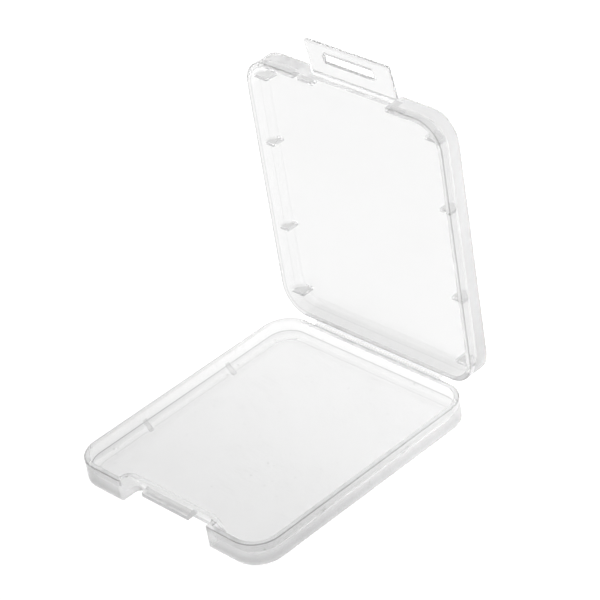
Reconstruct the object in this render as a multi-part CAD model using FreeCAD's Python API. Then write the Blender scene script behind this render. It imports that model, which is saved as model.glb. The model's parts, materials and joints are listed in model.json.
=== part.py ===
"""Clear memory card case: two shallow trays on a film hinge, with a latch flap on a second film hinge.

Millimetres, +Z up, X to the right, Y to the rear. The origin is the middle of the underside.
The case stands open, as it lies on a table after the lid has been let go.
"""
import FreeCAD, Part
import math
import os

# Outline of both halves
case_width = 43.0
case_depth = 49.0
half_height = 4.1
plan_corner_radius = 5.0
wall = 0.9
plate = 1.0
outer_edge_radius = 0.4
inner_edge_chamfer = 1.2

# Main film hinge
hinge_width = 28.6
hinge_span = 1.0
hinge_film = 0.3
hinge_bend_radius = 0.45
rim_gap = 0.1
lid_open_angle = 90.0

# Latch recess in the front wall of the base
recess_side_clearance = 0.75
recess_depth_at_rim = 2.0
recess_depth_at_floor = 3.8
recess_corner_radius = 1.0
recess_edge_radius = 0.35

# Catch lug in the recess
lug_width = 10.6
lug_reach = 1.45
lug_height = 1.2
lug_drop = 0.1
lug_lead_in = 0.45

# Gussets between the floor and the side walls of the base
gusset_spacing = 19.0
gusset_thickness = 0.8
gusset_leg = 1.6

# Latch flap and its film hinge
flap_width = 18.5
flap_length = 6.75
flap_thickness = 0.6
flap_corner_radius = 0.4
flap_clearance = 0.6
flap_lean_angle = 8.0
flap_lip = 0.25
window_side_clearance = 0.25
window_height = 2.0
window_from_hinge = 3.1
window_corner_radius = 0.3
latch_film = 0.25
latch_film_span = 1.0

# Notch in the front wall of the lid, with a low stiffening rib on the panel at each of its ends
notch_side_clearance = 0.95
stiffener_height = 1.15
stiffener_thickness = 0.6
stiffener_inner_reach = 2.2
stiffener_outer_reach = 1.2

# Locating ribs inside the lid
rib_thickness = 0.6
rib_setback = 0.7
side_rib_spacing = 16.5
side_rib_reach = 2.1
corner_rib_spacing = 41.8
corner_rib_reach = 3.2

# Every cut runs past the faces that it opens by this much
overrun = 1.0

# Edges closer than this lie at the same place
touch = 0.02

HALF_TURN = 180.0
ORIGIN = FreeCAD.Vector(0, 0, 0)
TO_RIGHT = FreeCAD.Vector(1, 0, 0)
TO_REAR = FreeCAD.Vector(0, 1, 0)
UP = FreeCAD.Vector(0, 0, 1)

front_face = -case_depth / 2
rear_face = case_depth / 2
rim_height = half_height
lid_rim_height = half_height + rim_gap
lid_top = lid_rim_height + half_height
hinge_axis = FreeCAD.Vector(0, rear_face + hinge_span / 2, rim_height + rim_gap / 2)

recess_width = flap_width + 2 * recess_side_clearance
notch_width = flap_width + 2 * notch_side_clearance
window_width = lug_width + 2 * window_side_clearance
recess_rim_face = front_face + recess_depth_at_rim
latch_axis = FreeCAD.Vector(0, recess_rim_face - flap_clearance, lid_top - flap_thickness)
lid_notch_face = latch_axis.y + latch_film_span / 2


def edges_where(shape, test):
    """Edges of a shape whose bounding box passes a test."""
    return [edge for edge in shape.Edges if test(edge.BoundBox)]


def at_height(height):
    """Test for edges that lie wholly at one height."""
    return lambda box: abs(box.ZMin - height) < touch and abs(box.ZMax - height) < touch


def box_between(low, high):
    """Box from its lowest to its highest corner."""
    size = high - low
    return Part.makeBox(size.x, size.y, size.z, low)


def rounded_block(width, depth, radius, bottom, top):
    """Upright block with rounded corners in plan, centred on the origin in X and Y."""
    corner = FreeCAD.Vector(width / 2, depth / 2, 0)
    block = box_between(UP * bottom - corner, UP * top + corner)
    return block.makeFillet(radius, edges_where(block, lambda box: box.ZLength > touch))


def prism_along_x(points, width):
    """Prism on a polygon of (y, z) points, centred on X."""
    corners = [FreeCAD.Vector(-width / 2, y, z) for y, z in points]
    outline = Part.makePolygon(corners + corners[:1])
    return Part.Face(outline).extrude(TO_RIGHT * width)


def tray_outside():
    """Outer form of one half, standing on its plate with the rim up."""
    block = rounded_block(case_width, case_depth, plan_corner_radius, 0, half_height)
    return block.makeFillet(outer_edge_radius, edges_where(block, at_height(0)))


def tray_inside():
    """Hollow of one half, open past the rim, with a sloped band round its floor."""
    block = rounded_block(case_width - 2 * wall, case_depth - 2 * wall, plan_corner_radius - wall,
                          plate, half_height + overrun)
    return block.makeChamfer(inner_edge_chamfer, edges_where(block, at_height(plate)))


def recess_block(grow):
    """Latch recess as a solid, with a back that slopes in towards the table; grow adds a wall round it."""
    slope = (recess_depth_at_floor - recess_depth_at_rim) / half_height
    grow_back = grow * math.hypot(1, slope)
    front = front_face - overrun
    low = -overrun
    high = half_height + 2 * overrun

    def back_at(height):
        return front_face + recess_depth_at_floor - slope * height + grow_back

    block = prism_along_x([(front, low), (back_at(low), low), (back_at(high), high), (front, high)],
                          recess_width + 2 * grow)
    back_corners = edges_where(block, lambda box: box.YMin > front + touch and box.ZLength > half_height)
    return block.makeFillet(recess_corner_radius + grow, back_corners)


def catch_lug():
    """Lug across the recess, with a sloped top that the flap's bar rides over."""
    top = rim_height - lug_drop
    root = recess_rim_face + wall
    tip = recess_rim_face - lug_reach
    profile = [(root, top), (recess_rim_face, top), (tip, top - lug_lead_in),
               (tip, top - lug_height), (root, top - lug_height)]
    return prism_along_x(profile, lug_width)


def floor_gusset(side, y):
    """Small three-cornered web between the floor and a side wall."""
    corner = FreeCAD.Vector(side * (case_width - wall) / 2, y - gusset_thickness / 2, plate / 2)
    across = TO_RIGHT * (-side * (gusset_leg + wall / 2))
    upward = UP * (gusset_leg + plate / 2)
    outline = Part.makePolygon([corner, corner + across, corner + upward, corner])
    return Part.Face(outline).extrude(TO_REAR * gusset_thickness)


def recessed_outside():
    """Outer form of the base with its latch recess, whose lower edges are rounded too."""
    outside = tray_outside().cut(recess_block(0))
    half_recess = recess_width / 2 + touch
    lower_edges = edges_where(outside, lambda box: at_height(0)(box)
                              and box.XMin > -half_recess and box.XMax < half_recess
                              and box.YMax < front_face + recess_depth_at_floor + touch)
    return outside.makeFillet(recess_edge_radius, lower_edges)


def base_tray():
    """Lower half with its latch recess, lug and gussets."""
    outside = recessed_outside()
    inside = tray_inside().cut(recess_block(wall))
    extras = [catch_lug().cut(inside)]
    for side in (-1, 1):
        for y in (-gusset_spacing / 2, gusset_spacing / 2):
            extras.append(floor_gusset(side, y).common(outside))
    return outside.cut(inside).fuse(extras).removeSplitter()


def turned_over(shape):
    """A half that stood on its plate, laid closed on top of the base."""
    lid = shape.copy()
    lid.rotate(ORIGIN, TO_REAR, HALF_TURN)
    lid.translate(UP * lid_top)
    return lid


def lid_rib(side, y, reach):
    """Locating rib square to a side wall of the closed lid, from the panel to just short of the rim."""
    ends = sorted((side * (case_width - wall) / 2, side * (case_width / 2 - wall - reach)))
    return box_between(FreeCAD.Vector(ends[0], y - rib_thickness / 2, lid_rim_height + rib_setback),
                       FreeCAD.Vector(ends[1], y + rib_thickness / 2, lid_top - plate / 2))


def notch_stiffener(side):
    """Low rib along the edge of the closed lid's panel, across one end of the notch."""
    notch_end = notch_width / 2
    ends = sorted((side * (notch_end - stiffener_inner_reach), side * (notch_end + stiffener_outer_reach)))
    crest = lid_top - plate - stiffener_height
    return box_between(FreeCAD.Vector(ends[0], lid_notch_face, crest),
                       FreeCAD.Vector(ends[1], lid_notch_face + stiffener_thickness, lid_top - plate / 2))


def closed_lid():
    """Upper half in its closed place, with its ribs and the open notch for the flap."""
    outside = turned_over(tray_outside())
    extras = []
    for side in (-1, 1):
        extras.append(notch_stiffener(side))
        for spacing, reach in ((side_rib_spacing, side_rib_reach), (corner_rib_spacing, corner_rib_reach)):
            for y in (-spacing / 2, spacing / 2):
                extras.append(lid_rib(side, y, reach).common(outside))
    shell = outside.cut(turned_over(tray_inside())).fuse(extras)
    notch = box_between(FreeCAD.Vector(-notch_width / 2, front_face - overrun, lid_rim_height - overrun),
                        FreeCAD.Vector(notch_width / 2, lid_notch_face, lid_top + overrun))
    return shell.cut(notch).removeSplitter()


def flap_window():
    """Window of the flat flap as a solid, with rounded corners."""
    near = latch_axis.y - window_from_hinge
    block = box_between(FreeCAD.Vector(-window_width / 2, near - window_height, latch_axis.z - overrun),
                        FreeCAD.Vector(window_width / 2, near, lid_top + overrun))
    return block.makeFillet(window_corner_radius, edges_where(block, lambda box: box.ZLength > touch))


def flat_flap():
    """Flap in line with the closed lid's panel, as it leaves the mould."""
    free_end = latch_axis.y - flap_length
    flap = box_between(FreeCAD.Vector(-flap_width / 2, free_end, latch_axis.z),
                       FreeCAD.Vector(flap_width / 2, latch_axis.y - latch_film_span / 2, lid_top))
    corners = edges_where(flap, lambda box: box.ZLength > touch and box.YMax < free_end + touch)
    flap = flap.makeFillet(flap_corner_radius, corners)
    lip = edges_where(flap, lambda box: at_height(latch_axis.z)(box)
                      and box.YMax < free_end + flap_corner_radius + touch)
    return flap.makeChamfer(flap_lip, lip).cut(flap_window())


def film_strip(width, near, far, bottom, thickness):
    """Straight run of film between two places in Y."""
    return box_between(FreeCAD.Vector(-width / 2, near, bottom),
                       FreeCAD.Vector(width / 2, far, bottom + thickness))


def film_bend(width, y, bottom, thickness, centre, turn):
    """Bent run of film that starts upright to Y and turns about an axis along X."""
    corner = FreeCAD.Vector(-width / 2, y, bottom)
    outline = Part.makePolygon([corner, corner + TO_RIGHT * width, corner + TO_RIGHT * width + UP * thickness,
                                corner + UP * thickness, corner])
    return Part.Face(outline).revolve(centre, TO_RIGHT, turn)


def main_hinge_film():
    """Film between the rear rims: a straight run on each half and one bend between them."""
    turn = HALF_TURN - lid_open_angle
    below_axis = (hinge_film + rim_gap) / 2
    past_axis = below_axis / math.tan(math.radians(lid_open_angle / 2))
    bend_start = hinge_axis.y + past_axis - hinge_bend_radius * math.tan(math.radians(turn / 2))
    bottom = rim_height - hinge_film
    centre = FreeCAD.Vector(0, bend_start, bottom + hinge_film / 2 + hinge_bend_radius)
    on_base = film_strip(hinge_width, rear_face, bend_start, bottom, hinge_film)
    bend = film_bend(hinge_width, bend_start, bottom, hinge_film, centre, turn)
    on_lid = lid_open(film_strip(hinge_width, rear_face, bend_start, lid_rim_height, hinge_film))
    return on_base.fuse([bend, on_lid]).removeSplitter()


def latch_hinge_film():
    """Film between the panel and the flap, leaned with the flap, on the closed lid."""
    half_span = latch_film_span / 2
    at_panel = film_strip(flap_width, latch_axis.y, latch_axis.y + half_span, latch_axis.z, latch_film)
    bend = film_bend(flap_width, latch_axis.y, latch_axis.z, latch_film, latch_axis, flap_lean_angle)
    at_flap = film_strip(flap_width, latch_axis.y - half_span, latch_axis.y, latch_axis.z, latch_film)
    return at_panel.fuse([bend, flap_leaned(at_flap)]).removeSplitter()


def lid_open(shape):
    """A piece of the closed lid, turned open about the main hinge."""
    piece = shape.copy()
    piece.rotate(hinge_axis, TO_RIGHT, -lid_open_angle)
    return piece


def flap_leaned(shape):
    """A piece of the flat flap, leaned in by its rest angle."""
    piece = shape.copy()
    piece.rotate(latch_axis, TO_RIGHT, flap_lean_angle)
    return piece


nodes = {
    "base_tray": base_tray(),
    "lid_shell": lid_open(closed_lid()),
    "latch_flap": lid_open(flap_leaned(flat_flap())),
    "main_hinge_film": main_hinge_film(),
    "latch_hinge_film": lid_open(latch_hinge_film()),
}

os.makedirs("parts", exist_ok=True)
for name, shape in nodes.items():
    shape.exportStep(f"parts/{name}.step")
    print(name, "solids", len(shape.Solids), "valid", shape.isValid(), "volume", round(shape.Volume, 3))
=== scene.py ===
# %% [markdown]
# # A clear card case, dressed for the camera
#
# The case is one moulding in clear plastic: a shallow base, a lid on a film hinge, and a small latch
# flap on a second film hinge. The frame holds these pieces at their real size, with the joints between
# them. This lesson gives them their looks: softened edges, a milky see-through finish with the faint
# scuffs of a case that has been carried about, and two films that really bend.

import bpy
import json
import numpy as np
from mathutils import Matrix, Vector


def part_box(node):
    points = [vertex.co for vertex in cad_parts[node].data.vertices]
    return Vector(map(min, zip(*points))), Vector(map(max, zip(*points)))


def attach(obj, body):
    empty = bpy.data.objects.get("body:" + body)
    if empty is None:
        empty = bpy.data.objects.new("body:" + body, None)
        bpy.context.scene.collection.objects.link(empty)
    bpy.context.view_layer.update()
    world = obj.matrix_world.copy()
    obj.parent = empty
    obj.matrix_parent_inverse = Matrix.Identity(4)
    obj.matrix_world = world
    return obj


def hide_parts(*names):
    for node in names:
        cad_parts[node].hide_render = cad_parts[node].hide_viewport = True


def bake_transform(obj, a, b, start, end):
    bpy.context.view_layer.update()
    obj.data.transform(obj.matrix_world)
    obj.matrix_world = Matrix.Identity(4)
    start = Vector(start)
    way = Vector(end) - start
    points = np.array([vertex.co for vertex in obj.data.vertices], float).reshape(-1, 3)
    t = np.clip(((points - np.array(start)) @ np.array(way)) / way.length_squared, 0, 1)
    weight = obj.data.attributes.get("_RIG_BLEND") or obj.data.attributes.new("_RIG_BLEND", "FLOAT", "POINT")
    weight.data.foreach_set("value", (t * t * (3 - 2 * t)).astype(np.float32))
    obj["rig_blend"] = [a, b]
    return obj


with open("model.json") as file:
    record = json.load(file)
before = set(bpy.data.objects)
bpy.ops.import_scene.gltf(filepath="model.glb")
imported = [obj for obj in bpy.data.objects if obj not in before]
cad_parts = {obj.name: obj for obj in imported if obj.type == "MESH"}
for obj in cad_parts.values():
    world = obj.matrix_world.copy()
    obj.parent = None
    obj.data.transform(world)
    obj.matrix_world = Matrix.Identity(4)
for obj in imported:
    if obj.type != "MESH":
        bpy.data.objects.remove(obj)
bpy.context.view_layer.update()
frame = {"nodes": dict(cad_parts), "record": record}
print("nodes:", ", ".join(sorted(frame["nodes"])))

# %% Blender's modules and the unit
import bmesh
import bpy
import json
import math
from mathutils import Matrix, Vector

MM = 0.001
scene = bpy.context.scene
print("one millimetre is", MM, "of Blender's units")

# %% [markdown]
# ## The camera
#
# The picture was taken with a long lens, from in front of the latch, to its right and above, and the
# camera was held a little askew. A camera could be aimed with a constraint, but then it would stay
# level. Three plain turns give the same aim and the tilt: one about the upright axis, one that tips the
# lens down, and one about the line of sight.

# %% Camera
EYE = Vector((290.24, -231.3, 268.81)) * MM
TURN_FROM_FRONT = math.radians(50.221)
TIPPED_DOWN = math.radians(33.11)
ROLL = math.radians(-9.793)
QUARTER_TURN = math.radians(90)
LENS_MM = 170.05
NEAREST_SEEN = 10 * MM

camera = bpy.data.objects.new("camera", bpy.data.cameras.new("camera"))
camera.data.lens = LENS_MM
camera.data.clip_start = NEAREST_SEEN
turned = Matrix.Rotation(TURN_FROM_FRONT, 4, "Z")
tipped = Matrix.Rotation(QUARTER_TURN - TIPPED_DOWN, 4, "X")
camera.matrix_world = Matrix.Translation(EYE) @ turned @ tipped @ Matrix.Rotation(ROLL, 4, "Z")
scene.collection.objects.link(camera)
scene.camera = camera
print("camera", round(EYE.length / MM), "mm from the case")

# %% [markdown]
# ## Shader sums as Python
#
# A finish is a handful of patterns that are added, scaled and cut off. Drawn as nodes that is a long
# list of links, so one small class wraps an output socket: a sum of two wires adds a Math node, and
# every other node comes from the method `node`.

# %% Wire: one socket of a material


class Wire:
    """An output socket of a material, with operators that add Math nodes."""

    def __init__(self, tree, socket=None):
        self.tree = tree
        self.socket = socket

    def node(self, kind, settings, inputs, output=0):
        """Add a node, apply its settings, set or link its inputs, and wrap one output."""
        made = self.tree.nodes.new(kind)
        for name, value in settings.items():
            setattr(made, name, value)
        for name, value in inputs.items():
            if isinstance(value, Wire):
                self.tree.links.new(value.socket, made.inputs[name])
            else:
                made.inputs[name].default_value = value
        return Wire(self.tree, made.outputs[output] if made.outputs else None)

    def math(self, operation, first, second):
        """Add a Math node on two wires or numbers."""
        return self.node("ShaderNodeMath", {"operation": operation}, {0: first, 1: second})

    def __add__(self, other):
        return self.math("ADD", self, other)

    def __radd__(self, other):
        return self.math("ADD", other, self)

    def __sub__(self, other):
        return self.math("SUBTRACT", self, other)

    def __rsub__(self, other):
        return self.math("SUBTRACT", other, self)

    def __mul__(self, other):
        return self.math("MULTIPLY", self, other)

    def __rmul__(self, other):
        return self.math("MULTIPLY", other, self)

    def between(self, low, high):
        """0 below low, 1 above high, and a soft slope from one to the other."""
        return self.node("ShaderNodeMapRange", {"interpolation_type": "SMOOTHSTEP"},
                         {"Value": self, "From Min": low, "From Max": high})


def new_material(name):
    """An empty node material, and a wire to start its nodes from."""
    material = bpy.data.materials.new(name)
    material.use_nodes = True
    material.node_tree.nodes.clear()
    return material, Wire(material.node_tree)


print("operators:", [name for name in vars(Wire) if name.startswith("__r")])

# %% [markdown]
# ## Marks in the plastic
#
# Clear plastic is never quite clear. The mould leaves slow ripples, handling leaves short fine scuffs,
# and dust leaves specks, both in patches. Each mark is a value from 0 to 1 on Object coordinates, which
# are metres here, so a pattern's scale is one over its size. A painted image could hold the same marks,
# but it would need unwrapping and would blur close up.

# %% Ripples, scuffs and specks
RIPPLE_SIZE = 7 * MM
SCUFF_WIDTH = 0.22 * MM
SCUFF_STRETCH = 14
SCUFF_TURNS = (math.radians(24), math.radians(-52))
SCUFF_CUT = (0.64, 0.76)
SCUFF_PATCH_SIZE = 14 * MM
SCUFF_PATCH_CUT = (0.42, 0.62)
SPECK_SPACING = 2.1 * MM
SPECK_CUT = (0.06, 0.12)
SPECK_PATCH_CUT = (0.44, 0.6)
SMOOTH = 0.0
SOFT = 1.0
UNEVEN = 2.0


def noise(start, place, size, detail):
    """Noise whose lumps have a size, with more or fewer finer lumps on top of them."""
    return start.node("ShaderNodeTexNoise", {}, {"Vector": place, "Scale": 1 / size, "Detail": detail})


def ripples(start, place):
    """Slow waves that the mould's surface leaves in the plastic."""
    return noise(start, place, RIPPLE_SIZE, SOFT)


def streaks(start, place, turn):
    """Fine scratches that all run one way."""
    stretch = (1 / SCUFF_STRETCH, 1, 1 / SCUFF_STRETCH)
    along = start.node("ShaderNodeMapping", {}, {"Vector": place, "Rotation": (0, 0, turn), "Scale": stretch})
    return noise(start, along, SCUFF_WIDTH, SMOOTH).between(*SCUFF_CUT)


def scuffs(start, place):
    """Short fine scratches in two directions, gathered in patches."""
    patches = noise(start, place, SCUFF_PATCH_SIZE, UNEVEN)
    return sum(streaks(start, place, turn) for turn in SCUFF_TURNS) * patches.between(*SCUFF_PATCH_CUT)


def specks(start, place):
    """Sparse round dots of dust, gathered in patches."""
    spaced = {"Vector": place, "Scale": 1 / SPECK_SPACING}
    from_dot = start.node("ShaderNodeTexVoronoi", {}, spaced, "Distance")
    patches = noise(start, place, RIPPLE_SIZE, UNEVEN)
    return (1 - from_dot.between(*SPECK_CUT)) * patches.between(*SPECK_PATCH_CUT)


print("marks from", SCUFF_WIDTH / MM, "to", SCUFF_PATCH_SIZE / MM, "mm")

# %% [markdown]
# ## A see-through finish
#
# The shells are moulded in a clear plastic with a little milk in it. A Principled shader with full
# transmission would be window glass, with black edges. Leaving a share of it as ordinary plastic gives
# the haze, and a low refraction keeps the thin walls as soft as they look. Lamps should shine through
# the walls without the grain of real caustics, so rays that only ask for shadow see a plain transparent
# shader.

# %% Closing a see-through finish
REFRACTION = 1.15
PASSED_BY_A_WALL = 0.96
RELIEF = 0.03 * MM
RELIEF_STRENGTH = 0.35


def grey(value):
    return (value, value, value, 1)


def mixed(start, share, first, second):
    """A grey from the first value to the second. A Mix node's sockets 6, 7 and 2 are its colours."""
    return start.node("ShaderNodeMix", {"data_type": "RGBA"},
                      {"Factor": share, 6: grey(first), 7: grey(second)}, 2)


def see_through(start, clear_share, shade, roughness, height):
    """Close a finish: milky plastic for the eye, plain transparency for shadow rays."""
    relief = start.node("ShaderNodeBump", {},
                        {"Strength": RELIEF_STRENGTH, "Distance": RELIEF, "Height": height})
    plastic = start.node("ShaderNodeBsdfPrincipled", {},
                         {"Base Color": shade, "Roughness": roughness, "IOR": REFRACTION,
                          "Transmission Weight": clear_share, "Normal": relief})
    passed = start.node("ShaderNodeBsdfTransparent", {}, {"Color": grey(PASSED_BY_A_WALL)})
    asked = start.node("ShaderNodeLightPath", {}, {}, "Is Shadow Ray")
    surface = start.node("ShaderNodeMixShader", {}, {0: asked, 1: plastic, 2: passed})
    start.node("ShaderNodeOutputMaterial", {}, {"Surface": surface})


print("refraction", REFRACTION, "and light that a wall passes", PASSED_BY_A_WALL)

# %% [markdown]
# ## Clear moulded plastic
#
# What the eye reads in a clear moulding is the grey of its edges and outer walls, where light is led away
# sideways. It could be left to refraction alone, but then it would come and go with each small change of
# light. So it is painted in as shade: each face carries how much of it there is as an attribute, and each
# point how deep it lies below the rim: a wall is greyest where the floor plate meets it, and the inner
# slope shows only its two creases. The painted lines and walls fade from the latch to the hinge; dust and
# scuffs darken a worn half, and painted shade darkens the plastic towards the latch.

# %% Where the painted shade lies
# The attributes carry painted shade on edges, creases and outer walls; the lines' layer also holds the lid's
# even tint.
PAINTED_LINES_AND_TINT = "painted_lines_and_tint"
WALL = "painted_wall_shade"
SLOPE = "painted_slope_shade"
DEPTH = "depth_below_rim"
LATCH_SIDE = -25 * MM
HINGE_SIDE = 22 * MM
UPPER_CREASE = 1.9 * MM
LOWER_CREASE = 3.1 * MM
CREASE_FADE = 0.14 * MM
LOWER_CREASE_SHARE = 0.35
PLATE_STARTS = (1.7 * MM, 2.9 * MM)
PLATE_ENDS = (3.1 * MM, 3.6 * MM)
LEAST_WALL_AT_THE_LATCH = 0.6
LEAST_WALL_AT_THE_HINGE = 0.3


def attribute(start, name):
    return start.node("ShaderNodeAttribute", {"attribute_name": name}, {}, "Fac")


def fading(near_latch, at_latch, at_hinge):
    """A value that changes from the latch to the hinge."""
    return near_latch * (at_latch - at_hinge) + at_hinge


def painted_shade_on_edges(start, below):
    """Painted shade on the edges, and on the two creases of the inner slope."""
    upper = 1 - below.between(UPPER_CREASE, UPPER_CREASE + CREASE_FADE)
    lower = below.between(LOWER_CREASE - CREASE_FADE, LOWER_CREASE)
    return attribute(start, PAINTED_LINES_AND_TINT) + attribute(start, SLOPE) * (upper + lower * LOWER_CREASE_SHARE)


def painted_shade_on_walls(start, below, near_latch):
    """Painted shade on the outer walls, fullest where the floor plate meets them."""
    at_plate = below.between(*PLATE_STARTS) * (1 - below.between(*PLATE_ENDS))
    least = fading(near_latch, LEAST_WALL_AT_THE_LATCH, LEAST_WALL_AT_THE_HINGE)
    return attribute(start, WALL) * (at_plate * (1 - least) + least)


print("creases", UPPER_CREASE / MM, "and", LOWER_CREASE / MM, "mm below the rim")

# %% Clear plastic
CLEAR_SHARE = 0.75
GREY_SHARE = 0.3
PAINTED_LINES_AT_THE_HINGE = 0.7
PAINTED_WALLS_AT_THE_HINGE = 0.5
SCUFF_GREY = 0.06
SPECK_GREY = 0.36
# Painted shade: the plastic darkens towards the latch.
LATCH_SIDE_PAINTED_SHADE = 0.09
PLAIN_ROUGHNESS = 0.12
RIPPLE_ROUGHNESS = 0.08
WORN_ROUGHNESS = 0.18
SCUFF_RELIEF = 0.06


def clear_plastic(name, tint, wear_and_shade):
    """Clear plastic with painted shade on its edges, walls and latch side, and with ripples, scuffs and specks.
    """
    material, start = new_material(name)
    place = start.node("ShaderNodeTexCoord", {}, {}, "Object")
    depth = start.node("ShaderNodeSeparateXYZ", {}, {"Vector": place}, "Y")
    near_latch = 1 - depth.between(LATCH_SIDE, HINGE_SIDE)
    waves = ripples(start, place)
    scratched = scuffs(start, place)
    dust = specks(start, place)
    # Scuffs and specks are wear and dust; the darkening towards the latch is painted shade.
    wear_and_painted_shade = (scratched * SCUFF_GREY + dust * SPECK_GREY + near_latch * LATCH_SIDE_PAINTED_SHADE) * wear_and_shade
    below = attribute(start, DEPTH)
    # Lines and walls are painted shade, fuller at the latch than at the hinge.
    lines = painted_shade_on_edges(start, below) * fading(near_latch, 1, PAINTED_LINES_AT_THE_HINGE)
    walls = painted_shade_on_walls(start, below, near_latch) * fading(near_latch, 1, PAINTED_WALLS_AT_THE_HINGE)
    shade = mixed(start, lines + walls + wear_and_painted_shade, tint, GREY_SHARE * tint)
    roughness = waves * RIPPLE_ROUGHNESS + wear_and_painted_shade * WORN_ROUGHNESS + PLAIN_ROUGHNESS
    see_through(start, CLEAR_SHARE, shade, roughness, waves + scratched * SCUFF_RELIEF)
    return material


# Wear scales the scuffs, the specks and the painted shade towards the latch.
BASE_TINT = 0.955
BASE_WEAR_AND_SHADE = 1.0
LID_TINT = 0.935
LID_WEAR_AND_SHADE = 0.15
base_plastic = clear_plastic("base_plastic", BASE_TINT, BASE_WEAR_AND_SHADE)
lid_plastic = clear_plastic("lid_plastic", LID_TINT, LID_WEAR_AND_SHADE)
print("plastics:", base_plastic.name, lid_plastic.name)

# %% [markdown]
# ## Soft edges on the moulded shells
#
# A mould never has a knife-sharp edge, and in clear plastic the edges are nearly all that the eye sees.
# The base, lid and flap keep the exact shape of the solids: a copy of each mesh is merged, its flat
# faces are joined again, and its edges are rounded. A Bevel modifier could round them all alike. The
# bevel operator hands back the faces that it made, so each kind of edge gets its own greyness.

# %% Rounding a kind of edge
MERGE = 0.001 * MM
FLAT = math.radians(0.5)
SHARP = math.radians(50)
ROUND_STEPS = 2


def solid_copy(node):
    """The node's mesh with its loose triangles merged and its flat faces joined."""
    bm = bmesh.new()
    bm.from_mesh(frame["nodes"][node].data)
    bmesh.ops.remove_doubles(bm, verts=bm.verts, dist=MERGE)
    bmesh.ops.dissolve_limit(bm, angle_limit=FLAT, verts=bm.verts, edges=bm.edges)
    bm.faces.layers.float.new(PAINTED_LINES_AND_TINT)
    return bm


def round_edges(bm, radius, greyness, chosen):
    """Round the sharp edges that pass a test, and paint shade on their new faces."""
    sharp = [edge for edge in bm.edges
             if edge.is_manifold and edge.calc_face_angle() > SHARP and chosen(edge)]
    made = bmesh.ops.bevel(bm, geom=sharp, offset=radius, affect="EDGES", segments=ROUND_STEPS, profile=0.5,
                           material=-1, clamp_overlap=True)
    line = bm.faces.layers.float[PAINTED_LINES_AND_TINT]
    for face in made["faces"]:
        face[line] = greyness
    print("  rounded", len(sharp), "edges with", len(made["faces"]), "faces")


def grey_at_least(bm, greyness, smallest):
    """Give every face of some size at least this greyness."""
    line = bm.faces.layers.float[PAINTED_LINES_AND_TINT]
    for face in bm.faces:
        if face.calc_area() >= smallest:
            face[line] = max(face[line], greyness)


print("edges that turn more than", round(math.degrees(SHARP)), "degrees are rounded")

# %% Placing a piece
CREASED = math.radians(28)


def finished(bm, name, material, slot, *replaced):
    """Turn a bmesh into a piece with smooth shading and a material, and hide the nodes that it stands for."""
    for face in bm.faces:
        face.smooth = True
    for edge in bm.edges:
        edge.smooth = not edge.is_manifold or edge.calc_face_angle() < CREASED
    loose = sum(not edge.is_manifold for edge in bm.edges)
    mesh = bpy.data.meshes.new(name)
    bm.to_mesh(mesh)
    bm.free()
    mesh.materials.append(material)
    piece = bpy.data.objects.new(name, mesh)
    scene.collection.objects.link(piece)
    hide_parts(*replaced)
    print(name, len(mesh.vertices), "points", len(mesh.polygons), "faces", loose, "open edges")
    return piece


def even_shading(piece):
    """Let large flat faces rule the shading, so narrow roundings don't cloud them."""
    weighted = piece.modifiers.new("even_shading", "WEIGHTED_NORMAL")
    weighted.keep_sharp = True


print("shading breaks at", round(math.degrees(CREASED)), "degrees")

# %% [markdown]
# ## The two trays
#
# Base and lid are the same shallow tray, one lying and one standing. Depth below the rim tells their
# edges and faces apart, whichever way the rim looks. The outer edge of the rim shows as a thin grey line
# on the real case, and here it is painted shade. A rounding alone is too narrow to show it, so the flat of
# the rim is inset first, which leaves a strip along the edge that can carry the painted line.

# %% A tray and its rim
NEAR = 0.06 * MM
UPRIGHT = 0.3


def corners_of(node):
    """The lowest and the highest corner of a node's box."""
    return [Vector(corner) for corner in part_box(node)]


class Tray:
    """A half of the case as a bmesh, with the height of its rim and the way that the rim looks."""

    def __init__(self, node, rim_way):
        low, high = corners_of(node)
        self.bm = solid_copy(node)
        self.rim_way = rim_way
        self.rim = max(low.dot(rim_way), high.dot(rim_way))
        self.middle = (low + high) / 2

    def depth(self, vert):
        return self.rim - vert.co.dot(self.rim_way)

    def looks_outwards(self, face):
        """Whether a face stands upright and looks away from the middle of the tray."""
        upright = abs(face.normal.dot(self.rim_way)) < UPRIGHT
        return upright and face.normal.dot(face.calc_center_median() - self.middle) > 0

    def at_rim(self, element):
        """Whether an edge or a face lies wholly at the rim."""
        return all(abs(self.depth(vert)) < NEAR for vert in element.verts)

    def at_outer_rim(self, edge):
        return self.at_rim(edge) and any(self.looks_outwards(face) for face in edge.link_faces)


print("points within", NEAR / MM, "mm of the rim belong to it")

# %% Edges of a tray
RIM_LINE = 0.24 * MM
EDGE_ROUND = 0.10 * MM
# These greys are painted shade on rounded edges.
FULL_PAINTED_SHADE = 1.0
INNER_RIM_PAINTED_SHADE = 0.5


def draw_edges(tray, rim_painted_shade, edge_painted_shade):
    """Lay the painted line along the rim, then round the outer rim, the inner rim and the other edges, with
    painted shade on their faces.
    """
    flat_rim = [face for face in tray.bm.faces if tray.at_rim(face)]
    strips = bmesh.ops.inset_region(tray.bm, faces=flat_rim, thickness=RIM_LINE, use_even_offset=True,
                                    use_boundary=True)["faces"]
    line = tray.bm.faces.layers.float[PAINTED_LINES_AND_TINT]
    for face in strips:
        face[line] = rim_painted_shade * any(tray.at_outer_rim(edge) for edge in face.edges)
    print("  strips along the rim", len(strips))
    round_edges(tray.bm, EDGE_ROUND, FULL_PAINTED_SHADE, tray.at_outer_rim)
    round_edges(tray.bm, EDGE_ROUND, INNER_RIM_PAINTED_SHADE, tray.at_rim)
    round_edges(tray.bm, EDGE_ROUND, edge_painted_shade, lambda edge: True)


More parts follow.
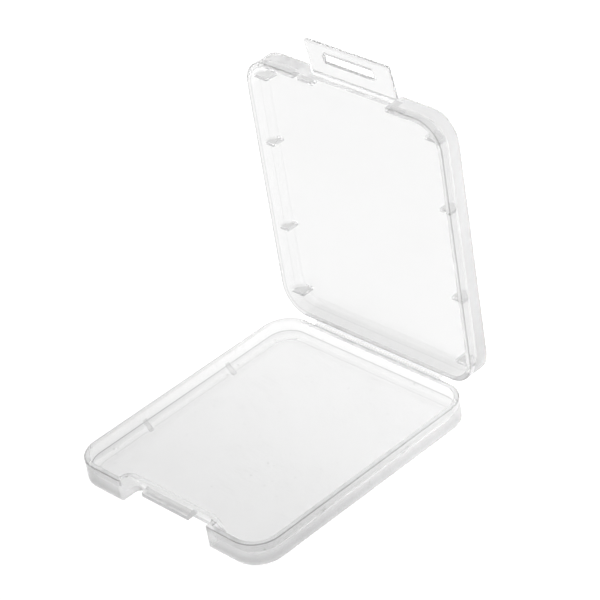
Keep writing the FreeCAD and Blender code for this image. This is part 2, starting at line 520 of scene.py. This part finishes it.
# %% Walls and slopes of a tray
SMALLEST_WALL = 1.5 * MM * MM
LEAST_SLOPE = 0.6
MOST_SLOPE = 0.8


def on_the_slope(tray, face):
    """Whether a face belongs to the slope between the inner wall and the floor."""
    tilted = LEAST_SLOPE < face.normal.dot(tray.rim_way) < MOST_SLOPE
    return tilted and all(UPPER_CREASE - NEAR < tray.depth(vert) < LOWER_CREASE + NEAR for vert in face.verts)


def paint_shade_on_faces(tray, layer_name, greyness, chosen):
    """Paint shade on the faces that pass a test, in a layer of their own."""
    layer = tray.bm.faces.layers.float.new(layer_name)
    faces = [face for face in tray.bm.faces if chosen(face)]
    for face in faces:
        face[layer] = greyness
    print(" ", layer_name, "on", len(faces), "faces")


def shade_tray(tray, painted_wall_shade, painted_slope_shade):
    """Paint shade on the outer walls and the slopes, and note how deep each point lies below the rim."""
    paint_shade_on_faces(tray, WALL, painted_wall_shade,
               lambda face: face.calc_area() > SMALLEST_WALL and tray.looks_outwards(face))
    paint_shade_on_faces(tray, SLOPE, painted_slope_shade, lambda face: on_the_slope(tray, face))
    below = tray.bm.verts.layers.float.new(DEPTH)
    for vert in tray.bm.verts:
        vert[below] = tray.depth(vert)


# %% [markdown]
# ## The base
#
# The base lies on the table with its rim up, and the latch hooks over the lug in its front wall. It takes
# the exact solid, so lug and recess need no modelling here. Its outer walls carry the most painted shade
# of the case, most of all on the latch side.

# %% Base
# Painted shade on the base's rim line and outer walls.
BASE_RIM_PAINTED_SHADE = 0.45
BASE_WALL_PAINTED_SHADE = 0.52

base_tray = Tray("base_tray", Vector((0, 0, 1)))
draw_edges(base_tray, BASE_RIM_PAINTED_SHADE, FULL_PAINTED_SHADE)
shade_tray(base_tray, BASE_WALL_PAINTED_SHADE, FULL_PAINTED_SHADE)

# %% [markdown]
# ## The gussets
#
# Four small gussets brace the side walls of the base, and the card lies between them. On the solid they
# hide inside the slope, so they are added here: a four-cornered face lies along the slope, a little
# prouder than it, and is pulled to the gusset's thickness. A Boolean could join them to the base. Sinking
# their ends a little into wall and floor looks the same and keeps the base's mesh as it is.

# %% Gussets
GUSSET_SPACING = 19 * MM
GUSSET_THICKNESS = 0.8 * MM
GUSSET_LEG = 1.6 * MM
GUSSET_BAR = 0.5 * MM
GUSSET_SUNK = 0.05 * MM
BASE_SIDE_WALL = 0.9 * MM
BASE_PLATE = 1.0 * MM

low, high = corners_of("base_tray")
wall_end = high.x - BASE_SIDE_WALL + GUSSET_SUNK
floor_end = low.z + BASE_PLATE - GUSSET_SUNK
leg = GUSSET_LEG + 2 * GUSSET_SUNK
gusset_profile = ((wall_end, floor_end + leg), (wall_end - leg, floor_end),
                  (wall_end - leg + GUSSET_BAR, floor_end), (wall_end, floor_end + leg - GUSSET_BAR))


def parts_of(geometry, kind):
    return [element for element in geometry if isinstance(element, kind)]


def add_gusset(bm, side, y):
    """A sloping bar from the floor to a side wall, sunk a little into both."""
    front = [bm.verts.new((side * x, y - GUSSET_THICKNESS / 2, z)) for x, z in gusset_profile]
    pulled = bmesh.ops.extrude_face_region(bm, geom=[bm.faces.new(front)], use_keep_orig=True)["geom"]
    rear = parts_of(pulled, bmesh.types.BMVert)
    bmesh.ops.translate(bm, verts=rear, vec=(0, GUSSET_THICKNESS, 0))
    faces = list({face for vert in front + rear for face in vert.link_faces})
    bmesh.ops.recalc_face_normals(bm, faces=faces)
    print("  gusset of", len(faces), "faces")


for side in (-1, 1):
    for y in (-GUSSET_SPACING / 2, GUSSET_SPACING / 2):
        add_gusset(base_tray.bm, side, y)
base = finished(base_tray.bm, "base", base_plastic, "clear_plastic", "base_tray")
even_shading(base)
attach(base, "base")

# %% [markdown]
# ## The lid
#
# The lid stands upright on its hinge, so its rim looks towards the latch side of the base. It is the same
# tray with ribs in place of gussets, and it is cleaner, because nothing slides over it. With nothing but
# white paper behind it, a clear panel would vanish, so every larger face keeps a trace of grey.

# %% Lid
# Painted shade on the lid's rim, ribs, walls and slope; the panel grey is an even tint.
LID_RIM_PAINTED_SHADE = 0.85
RIB_PAINTED_SHADE = 0.1
LID_WALL_PAINTED_SHADE = 0.05
LID_SLOPE_PAINTED_SHADE = 0.25
PANEL_GREY = 0.115

lid_tray = Tray("lid_shell", Vector((0, -1, 0)))
draw_edges(lid_tray, LID_RIM_PAINTED_SHADE, RIB_PAINTED_SHADE)
shade_tray(lid_tray, LID_WALL_PAINTED_SHADE, LID_SLOPE_PAINTED_SHADE)
grey_at_least(lid_tray.bm, PANEL_GREY, SMALLEST_WALL)
lid = finished(lid_tray.bm, "lid", lid_plastic, "clear_plastic", "lid_shell")
even_shading(lid)
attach(lid, "lid")

# %% [markdown]
# ## The latch flap
#
# A thin plate with a long window, which snaps over the lug. It could be dressed like a tray, but it has
# no rim, and it is thinner than the shells, so all its edges get one smaller rounding.

# %% Flap
# The flap's rounded edges carry painted shade.
FLAP_EDGE_ROUND = 0.08 * MM
FLAP_EDGE_PAINTED_SHADE = 0.1

flap_bm = solid_copy("latch_flap")
round_edges(flap_bm, FLAP_EDGE_ROUND, FLAP_EDGE_PAINTED_SHADE, lambda edge: True)
grey_at_least(flap_bm, PANEL_GREY, 0)
flap = finished(flap_bm, "flap", lid_plastic, "clear_plastic", "latch_flap")
even_shading(flap)
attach(flap, "flap")

# %% [markdown]
# ## Film plastic
#
# A film hinge is a strip of the same plastic, thin enough to bend for years. Where it bends, the plastic
# turns white in fine lines along the hinge. The lines could be modelled, but they are finer than a hair,
# so a stretched noise draws them, strongest at the bend.

# %% Film plastic
FILM_CLEAR_SHARE = 0.7
FILM_TINT = 0.93
WHITENED_TINT = 0.97
WHITENED_REACH = 0.45 * MM
LINED_SHARE = 0.6
FILM_LINE_WIDTH = 0.08 * MM
FILM_LINE_STRETCH = 0.03
FILM_LINE_RELIEF = 0.1
FILM_ROUGHNESS = 0.18
WHITENED_ROUGHNESS = 0.25


def film_plastic(name, bend):
    """Thin plastic with lines along the hinge, whitened near the sum of Y and Z at its bend."""
    material, start = new_material(name)
    place = start.node("ShaderNodeTexCoord", {}, {}, "Object")
    depth = start.node("ShaderNodeSeparateXYZ", {}, {"Vector": place}, "Y")
    height = start.node("ShaderNodeSeparateXYZ", {}, {"Vector": place}, "Z")
    away = start.math("ABSOLUTE", depth + height - bend, 0)
    along = start.node("ShaderNodeMapping", {}, {"Vector": place, "Scale": (FILM_LINE_STRETCH, 1, 1)})
    lines = noise(start, along, FILM_LINE_WIDTH, SOFT)
    whitened = (1 - away.between(0, WHITENED_REACH)) * (lines * LINED_SHARE + LINED_SHARE)
    shade = mixed(start, whitened, FILM_TINT, WHITENED_TINT)
    see_through(start, FILM_CLEAR_SHARE, shade, whitened * WHITENED_ROUGHNESS + FILM_ROUGHNESS,
                lines * FILM_LINE_RELIEF)
    print(name, "whitens within", WHITENED_REACH / MM, "mm of its bend")
    return material


# %% [markdown] ## The two film hinges  Each film starts as a loop of four edges, which is pulled
# straight, spun round the bend and pulled straight again, so that it has rows of points to bend at. The
# solid's own mesh has no such rows.

# %% Pulling, turning and closing a strip
def strip_start(bm, low, high):
    """A loop of four edges between two opposite corners, which share one depth or one height."""
    near = [(low.x, low.y, low.z), (high.x, low.y, low.z)]
    far = [(high.x, high.y, high.z), (low.x, high.y, high.z)]
    verts = [bm.verts.new(corner) for corner in near + far]
    return [bm.edges.new((verts[i - 1], verts[i])) for i in range(len(verts))]


def pull(bm, loop, way, steps):
    """Pull a loop of edges along a straight way in equal steps, and return the new end."""
    for _ in range(steps):
        made = bmesh.ops.extrude_edge_only(bm, edges=loop)["geom"]
        bmesh.ops.translate(bm, verts=parts_of(made, bmesh.types.BMVert), vec=way / steps)
        loop = [edge for edge in parts_of(made, bmesh.types.BMEdge) if edge.is_boundary]
    return loop


def turn(bm, loop, centre, angle, steps):
    """Spin a loop of edges about an axis along X, and return the new end."""
    verts = list({vert for edge in loop for vert in edge.verts})
    made = bmesh.ops.spin(bm, geom=verts + loop, cent=centre, axis=(1, 0, 0), angle=angle, steps=steps)
    return parts_of(made["geom_last"], bmesh.types.BMEdge)


def close_strip(bm):
    """Merge the rows of a strip, close its two ends and turn its faces outwards."""
    bmesh.ops.remove_doubles(bm, verts=bm.verts, dist=MERGE)
    bmesh.ops.holes_fill(bm, edges=[edge for edge in bm.edges if edge.is_boundary])
    bmesh.ops.recalc_face_normals(bm, faces=bm.faces)
    print("  strip of", len(bm.faces), "faces")


# %% Main hinge film
FILM = 0.3 * MM
INNER_BEND = 0.3 * MM
RUN_STEPS = 3
BEND_STEPS = 10

low, high = corners_of("main_hinge_film")
centre = Vector((0, high.y - FILM - INNER_BEND, low.z + FILM + INNER_BEND))
main_bm = bmesh.new()
end = strip_start(main_bm, low, Vector((high.x, low.y, low.z + FILM)))
end = pull(main_bm, end, Vector((0, centre.y - low.y, 0)), RUN_STEPS)
end = turn(main_bm, end, centre, QUARTER_TURN, BEND_STEPS)
pull(main_bm, end, Vector((0, 0, high.z - centre.z)), RUN_STEPS)
close_strip(main_bm)
main_film_plastic = film_plastic("main_film_plastic", centre.y + centre.z)
main_film = finished(main_bm, "main_film", main_film_plastic, "hinge_film", "main_hinge_film")
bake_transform(main_film, "base", "lid", start=(0, low.y, low.z + FILM / 2), end=(0, high.y - FILM / 2, high.z))

# %% Latch hinge film
LATCH_FILM = 0.25 * MM
LATCH_BEND_STEPS = 4

flap_joint = frame["record"]["behaviour"]["joints"][1]
pivot = Vector(flap_joint["pos_m"])
lean = -math.radians(flap_joint["range_deg"][0])
low, high = corners_of("latch_hinge_film")
run = pivot.z - low.z
latch_bm = bmesh.new()
end = strip_start(latch_bm, Vector((low.x, pivot.y, low.z)), Vector((high.x, pivot.y + LATCH_FILM, low.z)))
end = pull(latch_bm, end, Vector((0, 0, run)), RUN_STEPS)
end = turn(latch_bm, end, pivot, lean, LATCH_BEND_STEPS)
pull(latch_bm, end, Matrix.Rotation(lean, 3, "X") @ Vector((0, 0, run)), RUN_STEPS)
close_strip(latch_bm)
latch_film_plastic = film_plastic("latch_film_plastic", pivot.y + pivot.z)
latch_film = finished(latch_bm, "latch_film", latch_film_plastic, "hinge_film", "latch_hinge_film")
middle = pivot.y + LATCH_FILM / 2
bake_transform(latch_film, "lid", "flap", start=(0, middle, low.z),
         end=(0, middle - run * math.sin(lean), high.z))

# %% [markdown]
# ## The table
#
# The case was pictured on white paper that is lit from all round, so that it has no horizon and hardly a
# shadow. Lamps could light a plain white plane, but they would cast shadows through the case. A large
# plane that glows a little gives that white without them. It glows more behind the case than in front,
# which is why the base's floor pales towards the hinge.

# %% Table
TABLE_SIZE = 3000 * MM
TABLE_DROP = 0.3 * MM

table_bm = bmesh.new()
bmesh.ops.create_grid(table_bm, x_segments=1, y_segments=1, size=TABLE_SIZE,
                      matrix=Matrix.Translation((0, 0, -TABLE_DROP)))
table_mesh = bpy.data.meshes.new("table")
table_bm.to_mesh(table_mesh)
table_bm.free()
table = bpy.data.objects.new("table", table_mesh)
scene.collection.objects.link(table)
print("table", 2 * TABLE_SIZE / MM, "mm each way")

# %% White paper
FRONT_GLOW = 0.80
GLOW_RISE = 0.09
GLOW_REACH = 35 * MM
PAPER_GREY = 0.4
PAPER_ROUGHNESS = 0.9

paper, start = new_material("white_paper")
place = start.node("ShaderNodeTexCoord", {}, {}, "Object")
depth = start.node("ShaderNodeSeparateXYZ", {}, {"Vector": place}, "Y")
glow = depth.between(-GLOW_REACH, GLOW_REACH) * GLOW_RISE + FRONT_GLOW
glow_colour = start.node("ShaderNodeCombineColor", {}, {0: glow, 1: glow, 2: glow})
surface = start.node("ShaderNodeBsdfPrincipled", {},
                     {"Base Color": grey(PAPER_GREY), "Roughness": PAPER_ROUGHNESS,
                      "Specular IOR Level": 0.0, "Emission Color": glow_colour, "Emission Strength": 1.0})
start.node("ShaderNodeOutputMaterial", {}, {"Surface": surface})
table_mesh.materials.append(paper)
print("paper glows from", FRONT_GLOW, "to", FRONT_GLOW + GLOW_RISE)

# %% [markdown]
# ## The room
#
# Soft light from all sides is the same as a room with evenly lit walls, and a world with one plain
# strength is just that. The walls of the case pass light on many times between their faces before it
# gets out, so the renderer is allowed many bounces: with the usual few, edges seen end-on turn black.

# %% Room
ROOM_LIGHT = 0.8
BOUNCES = 64
DIFFUSE_BOUNCES = 16

room = bpy.data.worlds.new("room")
room.use_nodes = True
room.node_tree.nodes.clear()
start = Wire(room.node_tree)
backdrop = start.node("ShaderNodeBackground", {}, {"Strength": ROOM_LIGHT})
start.node("ShaderNodeOutputWorld", {}, {"Surface": backdrop})
scene.world = room
scene.view_settings.view_transform = "Standard"
scene.cycles.max_bounces = BOUNCES
scene.cycles.diffuse_bounces = DIFFUSE_BOUNCES
scene.cycles.glossy_bounces = BOUNCES
scene.cycles.transmission_bounces = BOUNCES
print("room light", ROOM_LIGHT, "and up to", BOUNCES, "bounces")

# %% [markdown]
# ## The size
#
# Looks must not change the size.
